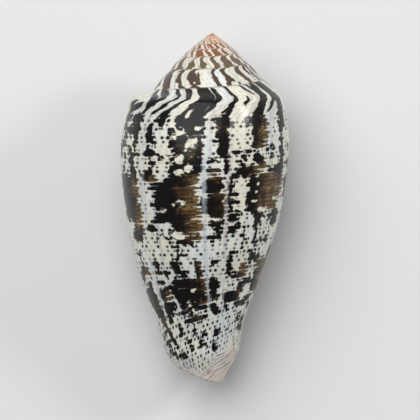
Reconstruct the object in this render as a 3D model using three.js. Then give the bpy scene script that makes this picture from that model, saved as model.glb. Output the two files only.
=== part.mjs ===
// A cone shell, grown as one piece, lying on its mouth.
// Millimetres, +Z up, +Y towards the apex, the lip on the -X side.
// The origin is the middle of the footprint, on the ground.
//
// The wall is one strip that coils round the axis and grows by the same ratio in every
// turn. Turn 0 is the lip and earlier turns are negative. Along the strip run its rows,
// which are growth lines. Across it run columns: from the suture out over the ramp to the
// shoulder, then down the body to the open base. A place between the suture and the base
// is a knot: 0 at the suture, 3 where the next turn joins, 5 below the shoulder, 6 at the
// base. Places in the half-plane of a turn are [distance from the apex, radius].
import * as THREE from 'three';

// Driving dimensions
const LENGTH = 60;
const WHORL_RATIO = 1.4;
const SPIRE_TURNS = 6;
const LIP_AZIMUTH = -138;
const MOUTH_WIDTH = 5;
const MOUTH_TURNS = 0.7;
const WALL = 1.05;
const EDGE_WALL = 0.55;

// Resting attitude: the apex end is raised, and the shell is rolled onto its lip.
// The lowest points are worn to small flats.
const APEX_RISE = 8;
const ROLL = 6.3;
const WEAR_FLAT = 0.2;

// Fineness of the faceted solid
const STEPS_PER_TURN = 48;
const RAMP_COLUMNS = 4;
const SEAM_COLUMNS = 1;
const SHOULDER_COLUMNS = 2;
const BODY_COLUMNS = 15;

// The wall's outline at the lip. The ramp and the shoulder come in three forms: on the
// spire, early in the last turn, and at the lip, where the ramp is flattest.
const SUTURE = [10.4, 10.4];
const JOIN = SUTURE.map((x) => x * WHORL_RATIO);
const SPIRE_SHOULDER = [[12.2, 12.5], [13.7, 13.8], JOIN, [16.6, 15.6], [19.6, 16.2]];
const EARLY_SHOULDER = [[11.7, 12.6], [13.0, 14.1], [14.0, 15.0], [16.4, 15.7], [19.6, 16.2]];
const LATE_SHOULDER = [[11.1, 12.3], [11.6, 14.0], [12.5, 14.8], [15.1, 15.35], [18.9, 16.2]];
const SPIRE_TURN = -1;
const EARLY_TURN = -0.63;
const LATE_TURN = -0.15;
const BODY = [
  [23.2, 16.4], [27.5, 16.1], [32.6, 15.45], [37.8, 14.6], [42.9, 13.3], [47.2, 11.7],
  [51.5, 10.15], [56.6, 8.35], [61.5, 6.4], [68.7, 4.1], [74, 1.9], [82, 1], [95, 0.7],
];
const APEX_TIP = 0.1;
const SPIRE_SWELL = 0.85;
const SWELL_FADE = [9, 13];

// The open base: a short round canal beside the axis, cut off at a slant
const CANAL = [
  [42, 7.2], [50, 6.75], [54.6, 6.2], [56, 5.65], [57.3, 4.85], [58.7, 3.8], [60.5, 2.4], [64, 1.2],
];
const CANAL_OFFSET = -1.63;
const CANAL_FADE = [-0.66, -0.9];
const TIP_AZIMUTH = 50;
const SLANT_DEPTH = 4.46;
const SLANT_POWER = 1.8;
const BLEND = 0.6;

// The pillar inside the mouth, which ends a little short of the wall round it
const PILLAR = [[54, 2.06], [60.3, 0.35]];
const PILLAR_SHORTER = 1.2;
const PILLAR_FADE = [-0.75, -1];
const PILLAR_CLEARANCE = 0.5;
const PILLAR_LEAST = 0.3;

// How the wall thins out towards the lip, in turns, and towards the base, in millimetres
const LIP_TAPER = 0.09;
const BASE_TAPER = 3;

// The growth line, in degrees ahead of the suture: it dips back on the ramp, leads where
// the next turn joins and leads most on the body
const RAMP_DIP = 9;
const JOIN_LEAD = 7.5;
const BODY_LEAD = 10;

// Knots
const JOIN_KNOT = 3;
const SEAM_KNOT = 3.6;
const SHOULDER_END = 5;
const BASE_KNOT = 6;
const CEILING_BLEND = 1.2;
const NORMAL_STEP = 0.02;

const DEGREE = Math.PI / 180;
const BISECTIONS = 24;

const mix = (a, b, share) => a + (b - a) * share;
const clamp = (x) => THREE.MathUtils.clamp(x, 0, 1);
const growth = (turn) => WHORL_RATIO ** turn;
const azimuthOf = (turn) => (LIP_AZIMUTH - 360 * turn) * DEGREE;

function ramp(from, to, x) {
  return clamp((x - from) / (to - from));
}

function smoothRamp(from, to, x) {
  const share = ramp(from, to, x);
  return share * share * (3 - 2 * share);
}

function smoothMax(a, b, width) {
  return 0.5 * (a + b + Math.hypot(a - b, width));
}

// A smooth curve through points of a half-plane, one knot at each point
function curveThrough(points) {
  const curve = new THREE.SplineCurve(points.map((point) => new THREE.Vector2(...point)));
  const at = (knot) => curve.getPoint(knot / (points.length - 1)).toArray();
  const radiusAt = (z) => {
    let low = 0;
    let high = points.length - 1;
    for (let round = 0; round < BISECTIONS; round += 1) {
      const middle = (low + high) / 2;
      if (at(middle)[0] < z) low = middle;
      else high = middle;
    }
    return at(low)[1];
  };
  return { at, radiusAt };
}

// The outline at one turn, in the size that it has at the lip
function outlineAt(turn) {
  const early = smoothRamp(SPIRE_TURN, EARLY_TURN, turn);
  const late = smoothRamp(EARLY_TURN, LATE_TURN, turn);
  const shoulder = SPIRE_SHOULDER.map((point, k) => point.map((x, axis) => (
    mix(mix(x, EARLY_SHOULDER[k][axis], early), LATE_SHOULDER[k][axis], late)
  )));
  return curveThrough([SUTURE, ...shoulder, ...BODY]);
}

const canal = curveThrough(CANAL);

// Distance from the axis to the round canal, whose middle is beside the axis
function canalRadius(azimuth, z) {
  const across = CANAL_OFFSET * Math.sin(azimuth);
  const along = CANAL_OFFSET * Math.cos(azimuth);
  const squared = canal.radiusAt(z) ** 2 - along ** 2;
  return across + Math.sqrt(Math.max(squared, 0));
}

function pillarRadius(z) {
  return mix(PILLAR[0][1], PILLAR[1][1], ramp(PILLAR[0][0], PILLAR[1][0], z));
}

// How far from the apex the wall ends
function baseHeight(turn) {
  const half = (azimuthOf(turn) - TIP_AZIMUTH * DEGREE) / 2;
  const slant = SLANT_DEPTH * Math.abs(Math.sin(half)) ** (2 * SLANT_POWER);
  return LENGTH - slant - PILLAR_SHORTER * smoothRamp(...PILLAR_FADE, turn);
}

// The wall as it grows, with the canal at its base
function grownRadius(turn, z) {
  const size = growth(turn);
  const coil = size * outlineAt(turn).radiusAt(z / size);
  const fade = 1 - smoothRamp(...CANAL_FADE, turn);
  return smoothMax(coil, canalRadius(azimuthOf(turn), z) * fade, BLEND);
}

function wallThickness(turn, z) {
  const share = Math.min(
    smoothRamp(0, -LIP_TAPER, turn),
    smoothRamp(0, BASE_TAPER, baseHeight(turn) - z),
  );
  return mix(EDGE_WALL, WALL, share);
}

// Radius of the body. Behind the lip it fills out, which keeps the mouth narrow, and
// inside the mouth it is the pillar, which stays clear of the wall round it.
function bodyRadius(turn, z) {
  const grown = grownRadius(turn, z);
  if (turn < -MOUTH_TURNS) {
    const lip = Math.min(turn + 1, 0);
    const inside = grownRadius(lip, z) - wallThickness(lip, z);
    const filled = smoothMax(grown, inside - MOUTH_WIDTH, BLEND / 2);
    const room = turn < -1 ? Math.max(inside - PILLAR_CLEARANCE, PILLAR_LEAST) : Infinity;
    const target = Math.min(Math.max(filled, pillarRadius(z)), room);
    return mix(grown, target, smoothRamp(-MOUTH_TURNS, -1, turn));
  }
  return grown;
}

function wallPoint(turn, knot) {
  const outline = outlineAt(turn);
  const size = growth(turn);
  if (knot <= SHOULDER_END) return outline.at(knot).map((x) => x * size);
  const z = mix(outline.at(SHOULDER_END)[0] * size, baseHeight(turn), knot - SHOULDER_END);
  return [z, bodyRadius(turn, z)];
}

// The inner wall, one wall thickness inside the outer one. It starts at the seam, where the
// ceiling of the chamber meets the side of the turn before.
function innerPoint(turn, knot) {
  const before = wallPoint(turn, Math.max(knot - NORMAL_STEP, 0));
  const after = wallPoint(turn, Math.min(knot + NORMAL_STEP, BASE_KNOT));
  const along = Math.hypot(after[0] - before[0], after[1] - before[1]);
  const outside = wallPoint(turn, knot);
  const wall = wallThickness(turn, outside[0]);
  const z = outside[0] + (wall * (after[1] - before[1])) / along;
  const r = outside[1] - (wall * (after[0] - before[0])) / along;
  const seam = wallPoint(turn - 1, SEAM_KNOT);
  const clear = clamp(knot / CEILING_BLEND);
  return [mix(seam[0], z, clear), mix(seam[1], r, clear)];
}

// A point of a half-plane in the shell's resting attitude, measured from its apex.
// The spire swells a little between its apex and the last suture.
function placed(turn, [z, r]) {
  const swell = SPIRE_SWELL * Math.sin(Math.PI * clamp(r / SUTURE[1]));
  const down = z - swell * (1 - smoothRamp(...SWELL_FADE, z));
  const azimuth = azimuthOf(turn) + ROLL * DEGREE;
  const point = new THREE.Vector3(r * Math.sin(azimuth), -down, r * Math.cos(azimuth));
  return point.applyAxisAngle(new THREE.Vector3(1, 0, 0), APEX_RISE * DEGREE);
}

// The columns of the strip
function spread(from, to, count) {
  return Array.from({ length: count }, (_, k) => mix(from, to, k / count));
}

const knots = [
  ...spread(0, JOIN_KNOT, RAMP_COLUMNS),
  ...spread(JOIN_KNOT, SEAM_KNOT, SEAM_COLUMNS),
  ...spread(SEAM_KNOT, SHOULDER_END, SHOULDER_COLUMNS),
  ...spread(SHOULDER_END, BASE_KNOT, BODY_COLUMNS),
  BASE_KNOT,
];
const SEAM = RAMP_COLUMNS + SEAM_COLUMNS;
const LAST = knots.length - 1;

function leadAt(knot) {
  const dip = RAMP_DIP * Math.sin(Math.PI * clamp(knot / JOIN_KNOT));
  const join = JOIN_LEAD * smoothRamp(0, JOIN_KNOT, knot);
  const body = (BODY_LEAD - JOIN_LEAD) * smoothRamp(JOIN_KNOT, SHOULDER_END, knot);
  return join + body - dip;
}

// The rows of the strip, from the apex to the lip. The last ramp column of a row is the
// suture of the row that lies BACK rows later. The mouth runs from BLIND_ROW to the lip,
// and the pillar that it faces from PILLAR_ROW to OPEN_ROW.
const ROWS = SPIRE_TURNS * STEPS_PER_TURN;
const BACK = STEPS_PER_TURN + Math.round((JOIN_LEAD / 360) * STEPS_PER_TURN);
const OPEN_ROW = ROWS - BACK;
const BLIND_ROW = ROWS - Math.round(MOUTH_TURNS * STEPS_PER_TURN);
const PILLAR_ROW = BLIND_ROW - BACK;

function turnAt(row, knot) {
  return (row - ROWS) / STEPS_PER_TURN + (leadAt(knot) - BODY_LEAD) / 360;
}

const vertices = [];
const triangles = [];

function addVertex(point) {
  vertices.push(point);
  return vertices.length - 1;
}

function addTriangle(a, b, c) {
  if (a !== b && b !== c && c !== a) triangles.push(a, b, c);
}

function addQuad(a, b, c, d) {
  addTriangle(a, b, c);
  addTriangle(a, c, d);
}

// A cap over a loop of vertices, with its middle at one more vertex
function addFan(loop, middle) {
  loop.forEach((vertex, k) => addTriangle(vertex, loop[(k + 1) % loop.length], middle));
}

// Vertices outside and, from the blind end of the mouth to the lip, inside. A column that
// isn't on the surface in its row has none.
const outer = [];
for (let i = 0; i <= ROWS; i += 1) {
  outer[i] = knots.map((knot, j) => {
    if (j === 0 && i >= BACK) return outer[i - BACK][RAMP_COLUMNS];
    const shown = j <= RAMP_COLUMNS || i >= OPEN_ROW || (j >= SEAM && i >= PILLAR_ROW);
    const turn = turnAt(i, knot);
    return shown ? addVertex(placed(turn, wallPoint(turn, knot))) : null;
  });
}

const inner = [];
for (let i = BLIND_ROW; i <= ROWS; i += 1) {
  inner[i] = knots.map((knot, j) => {
    if (j === 0) return outer[i - BACK][SEAM];
    const turn = turnAt(i, knot);
    return addVertex(placed(turn, innerPoint(turn, knot)));
  });
}

// Faces of the ramp, of the body, of the pillar and of the wall inside
function addOuterFaces(fromRow, toRow, fromColumn, toColumn) {
  for (let i = fromRow; i < toRow; i += 1) {
    for (let j = fromColumn; j < toColumn; j += 1) {
      addQuad(outer[i][j], outer[i + 1][j], outer[i + 1][j + 1], outer[i][j + 1]);
    }
  }
}

addOuterFaces(0, ROWS, 0, RAMP_COLUMNS);
addOuterFaces(OPEN_ROW, ROWS, RAMP_COLUMNS, LAST);
addOuterFaces(PILLAR_ROW, OPEN_ROW, SEAM, LAST);
for (let i = BLIND_ROW; i < ROWS; i += 1) {
  for (let j = 0; j < LAST; j += 1) {
    addQuad(inner[i][j], inner[i][j + 1], inner[i + 1][j + 1], inner[i + 1][j]);
  }
}

// The edge of the wall, down the lip and then back round the open base
const edge = knots.map((knot, j) => [outer[ROWS][j], inner[ROWS][j]]);
for (let i = ROWS - 1; i >= BLIND_ROW; i -= 1) edge.push([outer[i][LAST], inner[i][LAST]]);
for (let k = 0; k + 1 < edge.length; k += 1) {
  addQuad(edge[k + 1][0], edge[k][0], edge[k][1], edge[k + 1][1]);
}

// The blind end of the mouth, between the wall inside and the pillar
const wallEnd = inner[BLIND_ROW];
const pillarEnd = outer[PILLAR_ROW].slice(SEAM);
let wallStep = 1;
for (let step = 1; step < pillarEnd.length; step += 1) {
  const share = step / (pillarEnd.length - 1);
  addTriangle(wallEnd[wallStep - 1], pillarEnd[step - 1], pillarEnd[step]);
  while (wallStep < wallEnd.length && wallStep / (wallEnd.length - 1) <= share) {
    addTriangle(wallEnd[wallStep], wallEnd[wallStep - 1], pillarEnd[step]);
    wallStep += 1;
  }
}

// The base of the pillar and the apex
const baseLoop = [inner[BLIND_ROW][LAST]];
for (let i = PILLAR_ROW; i <= BLIND_ROW; i += 1) baseLoop.push(outer[i][LAST]);
const baseMiddle = new THREE.Vector3();
baseLoop.forEach((vertex) => baseMiddle.addScaledVector(vertices[vertex], 1 / baseLoop.length));
addFan(baseLoop, addVertex(baseMiddle));

const apexLoop = outer[0].slice(0, RAMP_COLUMNS);
for (let i = BACK; i > 0; i -= 1) apexLoop.push(outer[i][0]);
addFan(apexLoop, addVertex(placed(0, [APEX_TIP, 0])));

// Set it down on the ground, over the origin
const box = new THREE.Box3().setFromPoints(vertices);
const middle = box.getCenter(new THREE.Vector3());
const positions = vertices.flatMap((point) => [
  point.x - middle.x,
  point.y - middle.y,
  Math.max(point.z - box.min.z - WEAR_FLAT, 0),
]);

const geometry = new THREE.BufferGeometry();
geometry.setAttribute('position', new THREE.Float32BufferAttribute(positions, 3));
geometry.setIndex(triangles);
geometry.computeVertexNormals();

const glossyCream = new THREE.MeshStandardMaterial({ color: 0xe4ddcb, roughness: 0.25, metalness: 0 });
const shell = new THREE.Mesh(geometry, glossyCream);
shell.name = 'shell';

const group = new THREE.Group();
group.add(shell);
export default group;
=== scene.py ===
# %% [markdown]
# # A cone shell
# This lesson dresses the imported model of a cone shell: a fine mesh of the wall, grown by the
# same law as the solid, and a procedural finish for the markings and the gloss.
# The frame comes first. It is the fixed model that everything is placed by.

import math

import bpy
import numpy as np
from mathutils import Matrix, Vector


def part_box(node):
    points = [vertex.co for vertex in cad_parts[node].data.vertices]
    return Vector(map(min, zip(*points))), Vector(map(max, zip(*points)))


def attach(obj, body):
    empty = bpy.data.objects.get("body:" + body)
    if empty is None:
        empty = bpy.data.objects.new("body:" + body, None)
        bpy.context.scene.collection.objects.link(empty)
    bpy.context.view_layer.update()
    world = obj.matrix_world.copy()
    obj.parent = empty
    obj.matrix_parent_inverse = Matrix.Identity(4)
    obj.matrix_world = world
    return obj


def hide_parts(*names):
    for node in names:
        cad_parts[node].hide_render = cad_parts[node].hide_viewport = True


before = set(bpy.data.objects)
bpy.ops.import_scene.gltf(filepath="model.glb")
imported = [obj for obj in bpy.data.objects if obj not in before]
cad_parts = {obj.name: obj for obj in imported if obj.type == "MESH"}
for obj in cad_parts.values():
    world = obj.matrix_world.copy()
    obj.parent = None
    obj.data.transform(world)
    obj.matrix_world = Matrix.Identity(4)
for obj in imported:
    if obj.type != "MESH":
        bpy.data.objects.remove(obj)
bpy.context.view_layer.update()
LOWEST, HIGHEST = (np.array(corner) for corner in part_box("shell"))
print("solid's box, mm:", (LOWEST * 1000).round(2), (HIGHEST * 1000).round(2))

# %% [markdown]
# ## How the shell grows
# A snail adds shell at its lip only. Each turn repeats the one before, larger by a fixed
# ratio, so one outline and one ratio give the whole coil. It could be sculpted by hand, but
# then the whorls would not agree with each other. Here a formula does what the snail does:
# a place on the wall is a turn (0 at the lip, negative before it) and a knot, which runs
# across the wall from 0 at the suture through 5 below the shoulder to 6 at the open base.
# Places in the half-plane of one turn are (distance from the apex, radius), in millimetres.

# %% Driving dimensions
LENGTH = 60.0
WHORL_RATIO = 1.4
LIP_AZIMUTH = -138.0
MOUTH_WIDTH = 5.0
MOUTH_TURNS = 0.7
WALL = 1.05
EDGE_WALL = 0.55
APEX_RISE = math.radians(8.0)
ROLL = math.radians(6.3)
WEAR_FLAT = 0.2

SUTURE = (10.4, 10.4)
JOIN = (SUTURE[0] * WHORL_RATIO, SUTURE[1] * WHORL_RATIO)
SPIRE_SHOULDER = [(12.2, 12.5), (13.7, 13.8), JOIN, (16.6, 15.6), (19.6, 16.2)]
EARLY_SHOULDER = [(11.7, 12.6), (13.0, 14.1), (14.0, 15.0), (16.4, 15.7), (19.6, 16.2)]
LATE_SHOULDER = [(11.1, 12.3), (11.6, 14.0), (12.5, 14.8), (15.1, 15.35), (18.9, 16.2)]
SPIRE_TURN, EARLY_TURN, LATE_TURN = -1.0, -0.63, -0.15
BODY = [
    (23.2, 16.4), (27.5, 16.1), (32.6, 15.45), (37.8, 14.6), (42.9, 13.3), (47.2, 11.7),
    (51.5, 10.15), (56.6, 8.35), (61.5, 6.4), (68.7, 4.1), (74, 1.9), (82, 1), (95, 0.7),
]
APEX_TIP = 0.1
SPIRE_SWELL = 0.85
SWELL_FADE = (9.0, 13.0)

CANAL = [
    (42, 7.2), (50, 6.75), (54.6, 6.2), (56, 5.65),
    (57.3, 4.85), (58.7, 3.8), (60.5, 2.4), (64, 1.2),
]
CANAL_OFFSET = -1.63
CANAL_FADE = (-0.66, -0.9)
TIP_AZIMUTH = math.radians(50.0)
SLANT_DEPTH = 4.46
SLANT_POWER = 1.8
BLEND = 0.6

PILLAR_FROM, PILLAR_TO = (54, 2.06), (60.3, 0.35)
PILLAR_SHORTER = 1.2
PILLAR_FADE = (-0.75, -1.0)
PILLAR_CLEARANCE = 0.5
PILLAR_LEAST = 0.3
LIP_TAPER = 0.09
BASE_TAPER = 3.0

RAMP_DIP, JOIN_LEAD, BODY_LEAD = 9.0, 7.5, 10.0
JOIN_KNOT, SEAM_KNOT, SHOULDER_END, BASE_KNOT = 3.0, 3.6, 5.0, 6.0
CEILING_BLEND = 1.2
NORMAL_STEP = 0.02
BISECTIONS = 26
SAMPLES_PER_KNOT = 64
print("last whorl, mm:", LENGTH, "grows by", WHORL_RATIO, "a turn")


# %% Helpers for blending numbers
def mix(a, b, share):
    return a + (b - a) * share


def ramp(start, end, x):
    return np.clip((np.asarray(x, float) - start) / (end - start), 0, 1)


def smooth_ramp(start, end, x):
    share = ramp(start, end, x)
    return share * share * (3 - 2 * share)


def smooth_max(a, b, width):
    return 0.5 * (a + b + np.hypot(a - b, width))


def growth(turn):
    return WHORL_RATIO ** turn


def azimuth_of(turn):
    return np.radians(LIP_AZIMUTH - 360 * turn)


# %% Curves through a few points
def curve_through(points):
    """Close samples of a smooth curve through the points, with one knot at each."""
    ends = [points[0], *points, points[-1]]
    share = np.arange(SAMPLES_PER_KNOT)[:, None] / SAMPLES_PER_KNOT
    pieces = []
    for a, b, c, d in zip(*(np.array(ends[k:], float) for k in range(4))):
        square, cube = share**2, share**3
        pieces.append(0.5 * (
            2 * b + (c - a) * share + (2 * a - 5 * b + 4 * c - d) * square
            + (3 * b - a - 3 * c + d) * cube
        ))
    return np.vstack([*pieces, [points[-1]]])


def sample(curve, knot):
    """Points of a sampled curve at an array of knots."""
    place = np.arange(len(curve)) / SAMPLES_PER_KNOT
    return [np.interp(knot, place, curve[:, axis]) for axis in (0, 1)]


OUTLINES = [
    curve_through([SUTURE, *shoulder, *BODY])
    for shoulder in (SPIRE_SHOULDER, EARLY_SHOULDER, LATE_SHOULDER)
]
CANAL_CURVE = curve_through(CANAL)
print("outlines:", len(OUTLINES), "of", len(OUTLINES[0]), "samples")


# %% [markdown]
# The outline changes a little as the shell grows: the ramp between suture and shoulder is
# flattest near the lip. Three outlines are blended for that, and a radius at a given
# distance from the apex is found by halving the range of knots again and again.

# %% The outline at any turn
def outline_at(turn, knot):
    early = smooth_ramp(SPIRE_TURN, EARLY_TURN, turn)
    late = smooth_ramp(EARLY_TURN, LATE_TURN, turn)
    spire, first, last = (sample(curve, knot) for curve in OUTLINES)
    return [mix(mix(spire[k], first[k], early), last[k], late) for k in (0, 1)]


def radius_at(curve, highest_knot, z):
    low = np.zeros(np.shape(z))
    high = np.full(np.shape(z), float(highest_knot))
    for _ in range(BISECTIONS):
        middle = (low + high) / 2
        below = curve(middle)[0] < z
        low = np.where(below, middle, low)
        high = np.where(below, high, middle)
    return curve(low)[1]


def canal_radius(azimuth, z):
    across = CANAL_OFFSET * np.sin(azimuth)
    along = CANAL_OFFSET * np.cos(azimuth)
    radius = radius_at(lambda knot: sample(CANAL_CURVE, knot), len(CANAL) - 1, z)
    return across + np.sqrt(np.maximum(radius**2 - along**2, 0))


def base_height(turn):
    half = (azimuth_of(turn) - TIP_AZIMUTH) / 2
    slant = SLANT_DEPTH * np.abs(np.sin(half)) ** (2 * SLANT_POWER)
    return LENGTH - slant - PILLAR_SHORTER * smooth_ramp(*PILLAR_FADE, turn)


def grown_radius(turn, z):
    size = growth(turn)
    last_knot = int(SHOULDER_END) + len(BODY)
    coil = size * radius_at(lambda knot: outline_at(turn, knot), last_knot, z / size)
    fade = 1 - smooth_ramp(*CANAL_FADE, turn)
    return smooth_max(coil, canal_radius(azimuth_of(turn), z) * fade, BLEND)


def wall_thickness(turn, z):
    share = np.minimum(
        smooth_ramp(0, -LIP_TAPER, turn), smooth_ramp(0, BASE_TAPER, base_height(turn) - z)
    )
    return mix(EDGE_WALL, WALL, share)


def body_radius(turn, z):
    grown = grown_radius(turn, z)
    lip = np.minimum(turn + 1, 0)
    inside = grown_radius(lip, z) - wall_thickness(lip, z)
    filled = smooth_max(grown, inside - MOUTH_WIDTH, BLEND / 2)
    pillar = mix(PILLAR_FROM[1], PILLAR_TO[1], ramp(PILLAR_FROM[0], PILLAR_TO[0], z))
    clear = np.maximum(inside - PILLAR_CLEARANCE, PILLAR_LEAST)
    room = np.where(turn < -1, clear, np.inf)
    target = np.minimum(np.maximum(filled, pillar), room)
    return mix(grown, target, smooth_ramp(-MOUTH_TURNS, -1, turn))


# %% Places on the wall, outside and inside
def wall_point(turn, knot):
    size = growth(turn)
    upper = outline_at(turn, np.minimum(knot, SHOULDER_END))
    top = outline_at(turn, np.full(np.shape(turn), SHOULDER_END))[0] * size
    z = mix(top, base_height(turn), np.maximum(knot - SHOULDER_END, 0))
    on_body = knot > SHOULDER_END
    radius = upper[1] * size
    radius[on_body] = body_radius(turn[on_body], z[on_body])
    return np.where(on_body, z, upper[0] * size), radius


def inner_point(turn, knot):
    """The wall inside, one wall thickness in. It starts at the seam with the turn before."""
    before = wall_point(turn, np.maximum(knot - NORMAL_STEP, 0))
    after = wall_point(turn, np.minimum(knot + NORMAL_STEP, BASE_KNOT))
    along = np.hypot(after[0] - before[0], after[1] - before[1])
    z, radius = wall_point(turn, knot)
    wall = wall_thickness(turn, z)
    seam = wall_point(turn - 1, np.full(np.shape(turn), SEAM_KNOT))
    clear = np.clip(knot / CEILING_BLEND, 0, 1)
    inside_z = z + wall * (after[1] - before[1]) / along
    inside_radius = radius - wall * (after[0] - before[0]) / along
    return mix(seam[0], inside_z, clear), mix(seam[1], inside_radius, clear)


def placed(turn, z, radius):
    """Points in the resting attitude, measured from the apex."""
    swell = SPIRE_SWELL * np.sin(math.pi * np.clip(radius / SUTURE[1], 0, 1))
    down = z - swell * (1 - smooth_ramp(*SWELL_FADE, z))
    azimuth = azimuth_of(turn) + ROLL
    up = radius * np.cos(azimuth)
    return np.stack([
        radius * np.sin(azimuth),
        -down * math.cos(APEX_RISE) - up * math.sin(APEX_RISE),
        -down * math.sin(APEX_RISE) + up * math.cos(APEX_RISE),
    ], axis=-1)


# %% [markdown]
# ## The mesh of the wall
# The wall is one strip of quads that coils round the axis. Its rows are growth lines and its
# columns run across it. Where a turn meets the one before, the two share their vertices, so
# the strip has no gap at the suture. Rows lean as real growth lines do: they dip back on the
# ramp and lead on the body.

# %% Rows and columns of the strip
SPIRE_TURNS = 8
STEPS_PER_TURN = 240
RAMP_COLUMNS = 10
SEAM_COLUMNS = 3
SHOULDER_COLUMNS = 10
BODY_COLUMNS = 84
SEAM = RAMP_COLUMNS + SEAM_COLUMNS

KNOTS = np.concatenate([
    np.linspace(0, JOIN_KNOT, RAMP_COLUMNS, endpoint=False),
    np.linspace(JOIN_KNOT, SEAM_KNOT, SEAM_COLUMNS, endpoint=False),
    np.linspace(SEAM_KNOT, SHOULDER_END, SHOULDER_COLUMNS, endpoint=False),
    np.linspace(SHOULDER_END, BASE_KNOT, BODY_COLUMNS + 1),
])
LAST = len(KNOTS) - 1

ROWS = SPIRE_TURNS * STEPS_PER_TURN
BACK = STEPS_PER_TURN + round(JOIN_LEAD / 360 * STEPS_PER_TURN)
OPEN_ROW = ROWS - BACK
BLIND_ROW = ROWS - round(MOUTH_TURNS * STEPS_PER_TURN)
PILLAR_ROW = BLIND_ROW - BACK


def lead_at(knot):
    dip = RAMP_DIP * np.sin(math.pi * np.clip(knot / JOIN_KNOT, 0, 1))
    join = JOIN_LEAD * smooth_ramp(0, JOIN_KNOT, knot)
    body = (BODY_LEAD - JOIN_LEAD) * smooth_ramp(JOIN_KNOT, SHOULDER_END, knot)
    return join + body - dip


row, column = np.meshgrid(np.arange(ROWS + 1), np.arange(LAST + 1), indexing="ij")
knot = KNOTS[column]
turn = (row - ROWS) / STEPS_PER_TURN + (lead_at(knot) - BODY_LEAD) / 360
print("strip:", ROWS + 1, "growth lines,", LAST + 1, "columns")

# %% [markdown]
# The outer wall is needed on the ramp everywhere, and further down only where a later turn
# doesn't hide it. The wall inside runs from the blind end of the mouth to the lip.

# %% Vertices outside and inside
shared = (column == 0) & (row >= BACK)
shown = (column <= RAMP_COLUMNS) | (row >= OPEN_ROW) | ((column >= SEAM) & (row >= PILLAR_ROW))
made = shown & ~shared
outer = np.full(row.shape, -1)
outer[made] = np.arange(made.sum())
outer_z, outer_radius = wall_point(turn[made], knot[made])
points = [placed(turn[made], outer_z, outer_radius)]
for i in range(BACK, ROWS + 1):
    outer[i, 0] = outer[i - BACK, RAMP_COLUMNS]
vertex_count = int(made.sum())

lined = (row >= BLIND_ROW) & (column > 0)
inner = np.full(row.shape, -1)
inner[lined] = vertex_count + np.arange(lined.sum())
points.append(placed(turn[lined], *inner_point(turn[lined], knot[lined])))
vertex_count += int(lined.sum())
for i in range(BLIND_ROW, ROWS + 1):
    inner[i, 0] = outer[i - BACK, SEAM]
print("vertices:", int(made.sum()), "outside,", int(lined.sum()), "inside")

# %% [markdown]
# Each face corner carries the numbers that the finish is drawn by: the angle round the shell,
# the distance from the apex, the growth line, the knot, and whether it is inside the mouth.
# Corners carry them and not vertices, because two turns meet at a suture with one vertex.

# %% Faces, with the numbers at their corners
OUTSIDE, PILLAR, LIP_EDGE, CHAMBER = 0, 1, 1.5, 2

faces = []
corner_lines = []
corner_knots = []
corner_insides = []


def add_face(vertices, lines, knots, inside):
    """A face, unless two of its corners fall together."""
    kept = [k for k in range(len(vertices)) if vertices[k] != vertices[k - 1]]
    if len(kept) < 3:
        return
    faces.append([int(vertices[k]) for k in kept])
    corner_lines.extend(lines[k] for k in kept)
    corner_knots.extend(knots[k] for k in kept)
    corner_insides.extend([inside] * len(kept))


def add_wall(ids, rows, columns, inside):
    for i in rows:
        for j in columns:
            ring = [(i, j), (i + 1, j), (i + 1, j + 1), (i, j + 1)]
            if inside == CHAMBER:
                ring = ring[::-1]
            add_face(
                [ids[place] for place in ring],
                [place[0] for place in ring],
                [KNOTS[place[1]] for place in ring],
                inside,
            )


add_wall(outer, range(ROWS), range(RAMP_COLUMNS), OUTSIDE)
add_wall(outer, range(OPEN_ROW, ROWS), range(RAMP_COLUMNS, LAST), OUTSIDE)
add_wall(outer, range(PILLAR_ROW, OPEN_ROW), range(SEAM, LAST), PILLAR)
add_wall(inner, range(BLIND_ROW, ROWS), range(LAST), CHAMBER)
print("faces of the walls:", len(faces))

# %% [markdown]
# The edge of the lip and of the base is rounded over, as a snail leaves it. It starts at the
# suture, goes down the lip and then back round the open base.

# %% The rounded edge
edge_places = [(ROWS, j) for j in range(LAST + 1)]
edge_places += [(i, LAST) for i in range(ROWS - 1, BLIND_ROW - 1, -1)]
grown_points = np.vstack(points)
edge_middles = []
for step, (i, j) in enumerate(edge_places):
    if step == 0:
        edge_middles.append([outer[OPEN_ROW, RAMP_COLUMNS + k] for k in range(1, SEAM_COLUMNS)])
        continue
    outside, inside = grown_points[outer[i, j]], grown_points[inner[i, j]]
    ahead = np.zeros(3)
    if i == ROWS:
        ahead += outside - grown_points[outer[i - 1, j]]
    if j == LAST:
        ahead += outside - grown_points[outer[i, j - 1]]
    ahead /= np.linalg.norm(ahead)
    bulge = np.linalg.norm(inside - outside) / 2
    middles = []
    for k in range(1, SEAM_COLUMNS):
        angle = math.pi * k / SEAM_COLUMNS
        middle = mix(outside, inside, (1 - math.cos(angle)) / 2) + ahead * bulge * math.sin(angle)
        points.append(middle[None])
        middles.append(vertex_count)
        vertex_count += 1
    edge_middles.append(middles)

edge = [
    [outer[place], *middles, inner[place]] for place, middles in zip(edge_places, edge_middles)
]
for step in range(len(edge) - 1):
    for k in range(SEAM_COLUMNS):
        here, there = edge_places[step], edge_places[step + 1]
        places = [there, here, here, there]
        add_face(
            [edge[step + 1][k], edge[step][k], edge[step][k + 1], edge[step + 1][k + 1]],
            [place[0] for place in places],
            [KNOTS[place[1]] for place in places],
            OUTSIDE if k == 0 else LIP_EDGE,
        )
print("edge:", len(edge), "steps")

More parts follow.
